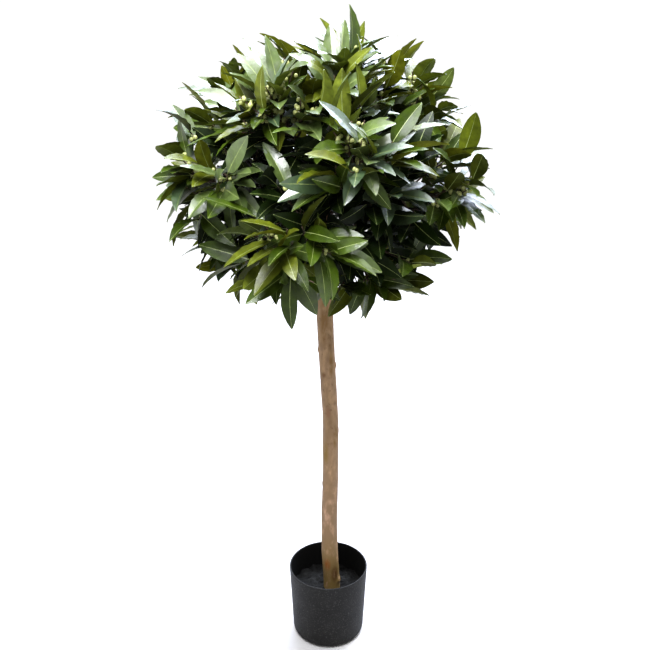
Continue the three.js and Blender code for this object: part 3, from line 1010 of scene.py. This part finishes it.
def pot_materials():
    shell = Finish("pot_plastic_outer", (0.008, 0.008, 0.008), roughness=0.66, Specular_IOR_Level=0.16)
    stops = [(0.35, (0.0070, 0.0069, 0.0066)), (0.65, (0.0110, 0.0108, 0.0103))]
    skin = shell.ramp(shell.noise(26, detail=4), stops)
    speckle = shell.grey(shell.noise(380, detail=2), 0.58, 0.66)
    shell.colour(shell.mix(shell.times(speckle, 0.7), skin, (0.040, 0.039, 0.037)))
    shell.bump(shell.noise(420, detail=5), distance=0.8 * MM, strength=0.6)
    # The pot's inner wall is painted far darker than its outer one: painted shade inside the pot.
    inside = Finish("pot_plastic_inner_painted_shade", (0.003, 0.003, 0.0028), roughness=0.75, Specular_IOR_Level=0.1)
    inside.bump(inside.noise(300, detail=4), distance=0.4 * MM, strength=0.5)
    return [shell.material, inside.material]


def fill_height(x, y):
    """The rough top of the cast fill: the source's swell, with lumps and grit of its own."""
    x_mm, y_mm = x / MM, y / MM
    coarse = math.sin(x_mm * 0.11 + 1.3) * math.cos(y_mm * 0.13 - 0.4)
    fine = math.sin(x_mm * 0.29 - y_mm * 0.21) * math.cos(y_mm * 0.34 + x_mm * 0.12)
    z = FILL["top"] + FILL["lump"] * (0.65 * coarse + 0.35 * fine)
    for height, scale, shift in LUMPS:
        z += height * noise.noise(Vector((x_mm * scale, y_mm * scale, shift)))
    return z


def make_fill():
    """The cast weight: a rough top from the pole to the pot's wall, and plain sides down to its floor."""
    sides, bands = FILL_MESH["sides"], FILL_MESH["bands"]
    x0, y0, r0 = pole_at(FILL["top"])
    wall = pot_inside(FILL["top"]) - 2 * GAP
    points = []
    for i in range(bands + 1):
        for a in turns(sides):
            hole = np.array([x0 + (r0 + GAP) * math.cos(a), y0 + (r0 + GAP) * math.sin(a)])
            edge = wall * np.array([math.cos(a), math.sin(a)])
            x, y = lerp(hole, edge, i / bands)
            points.append([x, y, fill_height(x, y)])
    below = [
        (FILL["top"] / 2, 0.0),
        (POT["foot_round"] + POT["floor"], 0.0),
        (POT["floor"] + GAP, FILL_MESH["foot_in"]),
    ]
    for z, shrink in below:
        r = pot_inside(z) - 2 * GAP - shrink
        points += [[r * math.cos(a), r * math.sin(a), z] for a in turns(sides)]
    count = bands + len(below)
    underside = tuple(range(count * sides, (count + 1) * sides))[::-1]
    heap = Heap()
    heap.add(np.array(points), flipped(band_faces(count, sides)) + [underside])
    heap.piece("fill_top", [cement_material()], "cement", ["pot_fill"])


def cement_material():
    cement = Finish("cast_cement", (0.008, 0.008, 0.008), roughness=0.92, Specular_IOR_Level=0.1)
    black, grey, pale = (0.0015, 0.0015, 0.0014), (0.0050, 0.0050, 0.0046), (0.014, 0.014, 0.013)
    cement.colour(cement.ramp(cement.noise(60, detail=6), [(0.3, black), (0.55, grey), (0.75, pale)]))
    cement.bump(cement.noise(240, detail=8), distance=1.6 * MM, strength=0.8)
    return cement.material


# ---- floor, light and camera ---------------------------------------------------------------------

# White paper, painted a little brighter near the pot: painted light that hides the pot's shadow on it.
FLOOR = dict(half=60, color=(0.36, 0.36, 0.36), painted_light_reach=2.8, painted_light_color=(0.375, 0.37, 0.365))
# The studio's white wall ends at the first sine of elevation, and its dark ceiling starts at the second.
WALL = (0.22, 1.05), (0.42, 0.07)
CONTRAST = (0.05, 0.0445), (0.2, 0.20), (0.5, 0.515)  # the film's curve: deeper shadows, clearer lights
COMBINED = 3  # the curve of all three colours
# Broad soft lights far away: elevation, azimuth, spread and strength. Azimuth 0 stands behind the camera,
# and 90 to its right.
SUNS = dict(top=(76, 175, 54, 5.3), key=(58, -15, 50, 1.6), right_back=(60, 120, 44, 2.4))
# Square soft lights near the crown, to light its top more than its foot: place, aim, size, power, colour.
SOFTBOXES = dict(
    crown_light=((-0.28, -0.6, 1.9), (0.0, 0, 1.14), 0.7, 47, (0.97, 0.98, 1.06)),
    crown_sheen=((0.35, 1.2, 2.25), (-0.01, 0, 1.1), 1.8, 215, (0.87, 0.97, 1.25)),
)
CAMERA = dict(lens=48.57, sensor=36, place=(-0.0069, -1.5, 1.297), tilt=68)


def make_floor():
    half = FLOOR["half"]
    corners = [(-half, -half, 0), (half, -half, 0), (half, half, 0), (-half, half, 0)]
    mesh = bpy.data.meshes.new("floor")
    mesh.from_pydata(corners, [], [(0, 1, 2, 3)])
    floor = bpy.data.objects.new("floor", mesh)
    bpy.context.scene.collection.objects.link(floor)
    paper = Finish("floor_paper", FLOOR["color"], roughness=0.9, Specular_IOR_Level=0.1)
    # Painted light: the paper is paler round the pot, where the pot's shadow falls.
    painted_light_near_pot = paper.near((0, 0, 0), (FLOOR["painted_light_reach"], FLOOR["painted_light_reach"], 1))
    paper.colour(paper.mix(painted_light_near_pot, FLOOR["color"], FLOOR["painted_light_color"]))
    mesh.materials.append(paper.material)


def hang(light, place, away):
    """Places a light. It shines the opposite way to the vector away."""
    lamp = bpy.data.objects.new(light.name, light)
    bpy.context.scene.collection.objects.link(lamp)
    lamp.location = place
    lamp.rotation_euler = away.to_track_quat("Z", "Y").to_euler()


def sun(name, elevation, azimuth, spread, strength):
    light = bpy.data.lights.new(name, "SUN")
    light.energy, light.angle = strength, math.radians(spread)
    e, a = math.radians(elevation), math.radians(azimuth)
    hang(light, (0, 0, 0), Vector((math.sin(a) * math.cos(e), -math.cos(a) * math.cos(e), math.sin(e))))


def softbox(name, place, aim, size, power, color):
    light = bpy.data.lights.new(name, "AREA")
    light.shape, light.size, light.energy, light.color = "SQUARE", size, power, color
    hang(light, place, Vector(place) - Vector(aim))


def make_world():
    world = bpy.data.worlds.new("studio")
    world.use_nodes = True
    nodes, links = world.node_tree.nodes, world.node_tree.links
    split = nodes.new("ShaderNodeSeparateXYZ")
    links.new(nodes.new("ShaderNodeTexCoord").outputs["Generated"], split.inputs[0])
    ramp = nodes.new("ShaderNodeValToRGB")
    for element, (place, grey) in zip(ramp.color_ramp.elements, WALL):
        element.position, element.color = place, (grey, grey, grey, 1)
    links.new(split.outputs["Z"], ramp.inputs["Fac"])
    links.new(ramp.outputs["Color"], nodes["Background"].inputs["Color"])
    bpy.context.scene.world = world


def make_light():
    for name, values in SUNS.items():
        sun(name, *values)
    for name, values in SOFTBOXES.items():
        softbox(name, *values)


def develop():
    """The picture's tones."""
    view = bpy.context.scene.view_settings
    view.view_transform = "Standard"
    view.use_curve_mapping = True
    for place in CONTRAST:
        view.curve_mapping.curves[COMBINED].points.new(*place)
    view.curve_mapping.update()


def make_camera():
    camera = bpy.data.cameras.new("camera")
    camera.lens, camera.sensor_width = CAMERA["lens"], CAMERA["sensor"]
    holder = bpy.data.objects.new("camera", camera)
    holder.location = CAMERA["place"]
    holder.rotation_euler = (math.radians(CAMERA["tilt"]), 0, 0)
    bpy.context.scene.collection.objects.link(holder)
    bpy.context.scene.camera = holder


make_crown()
make_pole()
make_pot()
make_fill()
make_floor()
make_world()
make_light()
develop()
make_camera()
